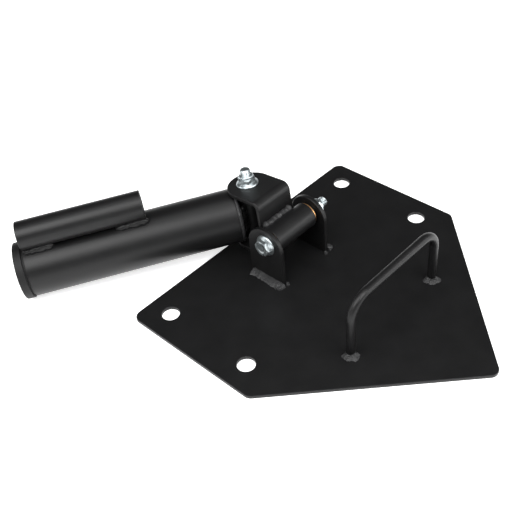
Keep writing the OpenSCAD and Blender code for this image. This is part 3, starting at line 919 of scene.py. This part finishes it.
def add_mouth():
    """The collar on the sleeve's mouth, with a neck that is the floor of the groove behind it."""
    neck_r, neck_start = SLEEVE_R - GROOVE_DEPTH, SLEEVE_END - GROOVE_W
    outline = rounded([(MOUTH_BORE, neck_start, 0), (neck_r, neck_start, 0), (neck_r, SLEEVE_END, 0.2),
                       (MOUTH_R, SLEEVE_END, 0.7), (MOUTH_R, MOUTH, 1.1),
                       (MOUTH_BORE + MOUTH_CHAMFER, MOUTH, 0.6), (MOUTH_BORE, MOUTH - MOUTH_CHAMFER, 0.6)])
    add_piece("mouth_ring", "mouth_collar", "swivel_sleeve", SLEEVE_LINE, black_collar, lathe(outline))


add_sleeve()
add_end_plate()
add_swivel_welds()
add_mouth()


# Small tube and its welds, about the small tube's own middle: x is away from the sleeve

def add_small_tube():
    """The tube for a thin bar, on top of the sleeve."""
    tube = pipe(SMALL_BORE, SMALL_R, -SMALL_LEN / 2, SMALL_LEN / 2, SMALL_TUBE_EDGE)
    add_piece("small_pipe", "small_tube", "swivel_sleeve", SMALL_LINE, black, tube)


def small_bead(sense, start, length, seed):
    """A long, lumpy bead in the notch between the tubes."""
    x = SLEEVE_R - SEAT_OUT + SMALL_BEAD_UP
    run = [(x, sense * (SMALL_BEAD_SIDE + 0.5 * wobble(k, start, 0, seed, 6)), start + k)
           for k in range(0, length + 1, BEAD_STEP)]
    return bead(run, SMALL_BEAD_R, SMALL_BEAD_PITCH, seed, taper=2.4, ripples=0.2, lumps=0.4)


def add_small_welds(node, sense, first, seed):
    """The two beads on one side: one from the tube's inner end, and one up to its outer end."""
    inner = small_bead(sense, -SMALL_LEN / 2 + first, INNER_BEAD_LEN, seed)
    outer = small_bead(sense, SMALL_LEN / 2 - OUTER_BEAD_BACK, OUTER_BEAD_LEN, seed)
    beads = joined(inner, outer)
    add_piece(node + "_beads", node, "swivel_sleeve", SMALL_LINE, black, beads, sharp=SHARP_BEAD)


add_small_tube()
add_small_welds("small_tube_front_welds", -1, VISIBLE_BEAD_START, seed=57)
add_small_welds("small_tube_back_welds", 1, HIDDEN_BEAD_START, seed=51)


# Camera, fitted to the plate's edges and holes in the photograph

CAMERA_AZ, CAMERA_EL, CAMERA_ROLL = 46.867, 41.627, 5.774
CAMERA_AT = (0.4799, -0.5167, 0.6469)
CAMERA_LENS, CAMERA_SENSOR = 57.90, 36


def add_camera():
    """The camera, from its place, direction and roll."""
    az, el, roll = (math.radians(a) for a in (CAMERA_AZ, CAMERA_EL, CAMERA_ROLL))
    ahead = Vector((-math.sin(az) * math.cos(el), math.cos(az) * math.cos(el), -math.sin(el)))
    right = Vector((math.cos(az), math.sin(az), 0))
    down = ahead.cross(right)
    x_way = math.cos(roll) * right + math.sin(roll) * down
    y_way = math.sin(roll) * right - math.cos(roll) * down
    turn = Matrix((x_way, y_way, -ahead)).transposed().to_4x4()
    data = bpy.data.cameras.new("photo camera")
    data.lens = CAMERA_LENS
    data.sensor_width = CAMERA_SENSOR
    data.clip_start = 0.01
    camera = bpy.data.objects.new("photo camera", data)
    camera.matrix_world = Matrix.Translation(CAMERA_AT) @ turn
    bpy.context.scene.collection.objects.link(camera)
    bpy.context.scene.camera = camera


add_camera()


# Floor, light and background, in metres

FLOOR_HALF = 6.0
FLOOR_COLOUR = (0.8, 0.8, 0.8)
# How white the floor looks by itself: where the lamps also light it, and where they no longer do
LIT_GLOW, UNLIT_GLOW = (0.62, 0.62, 0.62), (1.0, 1.0, 1.0)
LIT_WITHIN, UNLIT_BEYOND = 0.8, 2.5
# The room that metal shows, by the height of the way in which a ray goes
HORIZON_GREY, CEILING_GREY = 0.85, 0.06
HORIZON_UP_TO, CEILING_FROM = 0.02, 0.3
ROOM_LIGHT = (0.3, 0.3, 0.31)
BLACK, WHITE = (0.0, 0.0, 0.0), (1.0, 1.0, 1.0)
LAMP_AIM = Vector((0.0, 0.0, 0.03))


def seen_background(tree):
    """1 for rays from the camera, mirrors and glass, 0 for the light that falls on the object."""
    path = tree.nodes.new("ShaderNodeLightPath")
    total = path.outputs["Is Camera Ray"]
    for name in ("Is Glossy Ray", "Is Transmission Ray"):
        add = tree.nodes.new("ShaderNodeMath")
        add.use_clamp = True
        tree.links.new(total, add.inputs[0])
        tree.links.new(path.outputs[name], add.inputs[1])
        total = add.outputs["Value"]
    return total


def floor_glow(tree):
    """The white that the floor adds to the lamps' light on it, more of it further out."""
    place = tree.nodes.new("ShaderNodeTexCoord")
    away = tree.nodes.new("ShaderNodeVectorMath")
    away.operation = "LENGTH"
    tree.links.new(place.outputs["Object"], away.inputs[0])
    beyond_light = tree.nodes.new("ShaderNodeMapRange")
    beyond_light.inputs["From Min"].default_value = LIT_WITHIN
    beyond_light.inputs["From Max"].default_value = UNLIT_BEYOND
    tree.links.new(away.outputs["Value"], beyond_light.inputs["Value"])
    white = mixed(tree, beyond_light.outputs["Result"], LIT_GLOW, UNLIT_GLOW)
    return mixed(tree, seen_background(tree), BLACK, white)


def add_floor():
    """A pale floor that looks white where no shadow lies on it."""
    mesh = bpy.data.meshes.new("studio floor")
    corners = [(x * FLOOR_HALF, y * FLOOR_HALF, 0) for x, y in ((-1, -1), (1, -1), (1, 1), (-1, 1))]
    mesh.from_pydata(corners, [], [(0, 1, 2, 3)])
    floor = bpy.data.objects.new("studio_floor", mesh)
    bpy.context.scene.collection.objects.link(floor)
    material, tree, shader = new_material("white floor")
    shader.inputs["Base Color"].default_value = (*FLOOR_COLOUR, 1)
    shader.inputs["Roughness"].default_value = 0.9
    shader.inputs["Specular IOR Level"].default_value = 0.0
    tree.links.new(floor_glow(tree), shader.inputs["Emission Color"])
    shader.inputs["Emission Strength"].default_value = 1.0
    mesh.materials.append(material)


def add_world():
    """A white backdrop for the camera, a room that metal mirrors, and even light on the object."""
    world = bpy.data.worlds.new("studio")
    bpy.context.scene.world = world
    world.use_nodes = True
    tree = world.node_tree
    background = tree.nodes["Background"]
    place = tree.nodes.new("ShaderNodeTexCoord")
    split = tree.nodes.new("ShaderNodeSeparateXYZ")
    tree.links.new(place.outputs["Generated"], split.inputs["Vector"])
    room = ramp(tree, split.outputs["Z"], HORIZON_GREY, CEILING_GREY, HORIZON_UP_TO, CEILING_FROM)
    path = tree.nodes.new("ShaderNodeLightPath")
    shown = mixed(tree, path.outputs["Is Camera Ray"], room, WHITE)
    light = mixed(tree, seen_background(tree), ROOM_LIGHT, shown)
    tree.links.new(light, background.inputs["Color"])


def add_softbox(name, azimuth, elevation, distance, size, power):
    """A rectangular lamp that faces the object."""
    az, el = math.radians(azimuth), math.radians(elevation)
    back = Vector((math.sin(az) * math.cos(el), -math.cos(az) * math.cos(el), math.sin(el)))
    data = bpy.data.lights.new(name, "AREA")
    data.shape = "RECTANGLE"
    data.size, data.size_y = size
    data.energy = power
    lamp = bpy.data.objects.new(name, data)
    lamp.location = LAMP_AIM + back * distance
    lamp.rotation_mode = "QUATERNION"
    lamp.rotation_quaternion = back.to_track_quat("Z", "Y")
    bpy.context.scene.collection.objects.link(lamp)


add_floor()
add_world()
add_softbox("right softbox", azimuth=92, elevation=50, distance=1.5, size=(0.9, 0.9), power=17)
add_softbox("left softbox", azimuth=8, elevation=52, distance=1.5, size=(0.9, 0.9), power=17)
add_softbox("top softbox", azimuth=47, elevation=86, distance=1.7, size=(1.3, 1.3), power=9)
add_softbox("bend softbox", azimuth=-40, elevation=31, distance=1.5, size=(0.6, 0.6), power=5)
add_softbox("low softbox", azimuth=125, elevation=17, distance=1.5, size=(0.9, 0.5), power=6)
bpy.context.scene.view_settings.view_transform = "Standard"
